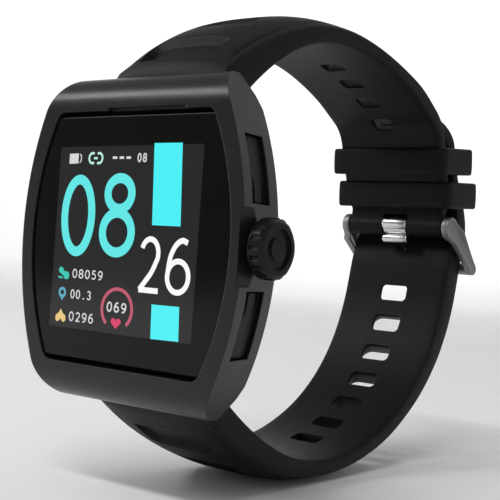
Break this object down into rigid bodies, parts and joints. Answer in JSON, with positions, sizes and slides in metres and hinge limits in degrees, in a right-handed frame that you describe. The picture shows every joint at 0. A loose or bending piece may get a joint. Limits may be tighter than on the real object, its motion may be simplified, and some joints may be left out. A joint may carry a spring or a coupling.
{
  "type": "smartwatch",
  "caption": "Wrist smartwatch: barrel-shaped case with a flat touch display, turning and pressing crown, optical sensor back, and a buckled silicone strap with keepers",
  "frame": {"origin": "centre of the wrist opening, half way between the sensor dome and the strap behind the wrist", "axes": "+X runs along the wrist towards the crown at 3 o'clock, -Y is the way the display faces, +Z points to 12 o'clock"},
  "size_m": [0.0383, 0.0717, 0.0616],
  "materials": {
    "case_metal": "satin black",
    "side_inlay": "matte",
    "glass": "polished",
    "display": "lit panel",
    "gasket": "matte",
    "panel_metal": "brushed",
    "frame_plastic": "moulded",
    "board": "solder mask",
    "chips": "moulded",
    "foil": "foil",
    "cover_plastic": "fine texture",
    "seal": "matte",
    "screw_steel": "dark",
    "sensor_glass": "polished",
    "led": "clear",
    "gold": "plated",
    "magnet": "plated",
    "crown_metal": "satin black",
    "steel": "turned",
    "bush_plastic": "moulded",
    "strap_rubber": "matte silicone",
    "buckle_steel": "brushed"
  },
  "bodies": {
    "case": {"case_body": "case_metal", "side_inlay_3_upper": "side_inlay", "side_inlay_3_lower": "side_inlay", "side_inlay_9_upper": "side_inlay", "side_inlay_9_lower": "side_inlay", "glass_cover": "glass", "glass_gasket": "gasket", "display_face": "display", "display_module": "panel_metal", "inner_frame": "frame_plastic", "main_board": "board", "board_chips": "chips", "shield_can": "foil", "battery": "foil", "vibration_motor": "steel", "microphone": "gold", "back_cover": "cover_plastic", "back_gasket": "seal", "back_screws": "screw_steel", "sensor_window": "sensor_glass", "sensor_leds": "led", "charging_contacts": "gold", "charging_magnets": "magnet", "crown_tube": "steel", "crown_switch": "chips"},
    "crown_press": {"crown_bush": "bush_plastic"},
    "crown_knob": {"crown_cap": "crown_metal", "crown_stem": "steel", "crown_seal": "gasket", "crown_clip": "steel"},
    "strap_loop": {"strap_upper": "strap_rubber", "strap_lower": "strap_rubber", "spring_bar_12": "steel", "spring_bar_6": "steel", "fixed_keeper": "strap_rubber", "buckle_pin": "buckle_steel"},
    "lever_12": {"plunger_12": "steel", "release_knob_12": "steel"},
    "lever_6": {"plunger_6": "steel", "release_knob_6": "steel"},
    "keeper_loop": {"free_keeper": "strap_rubber"},
    "buckle": {"buckle_frame": "buckle_steel"},
    "tongue": {"buckle_tongue": "buckle_steel"}
  },
  "joints": [
    {"name": "crown_push", "type": "slide", "parent": "case", "child": "crown_press", "axis": [-1, 0, 0], "range_m": [0, 0.00035], "stiffness_N_per_m": 900, "springref_m": -0.0004},
    {"name": "crown_turn", "type": "hinge", "parent": "crown_press", "child": "crown_knob", "pos_m": [0, -0.033, 0], "axis": [1, 0, 0], "continuous": true},
    {"name": "strap_swing", "type": "hinge", "parent": "case", "child": "strap_loop", "pos_m": [0, -0.0301, 0.0165], "axis": [1, 0, 0], "range_deg": [0, 25]},
    {"name": "lever_12_slide", "type": "slide", "parent": "strap_loop", "child": "lever_12", "axis": [-1, 0, 0], "range_m": [0, 0.0016], "stiffness_N_per_m": 500, "springref_m": -0.0008},
    {"name": "lever_6_slide", "type": "slide", "parent": "strap_loop", "child": "lever_6", "axis": [-1, 0, 0], "range_m": [0, 0.0016], "stiffness_N_per_m": 500, "springref_m": -0.0008},
    {"name": "keeper_slide", "type": "slide", "parent": "strap_loop", "child": "keeper_loop", "axis": [0, -0.342, 0.9397], "range_m": [-0.0008, 0.0015]},
    {"name": "buckle_turn", "type": "hinge", "parent": "strap_loop", "child": "buckle", "pos_m": [0, 0.02638, 0.00546], "axis": [1, 0, 0], "range_deg": [-7, 0]},
    {"name": "tongue_turn", "type": "hinge", "parent": "strap_loop", "child": "tongue", "pos_m": [0, 0.02638, 0.00546], "axis": [1, 0, 0], "range_deg": [0, 8]}
  ]
}
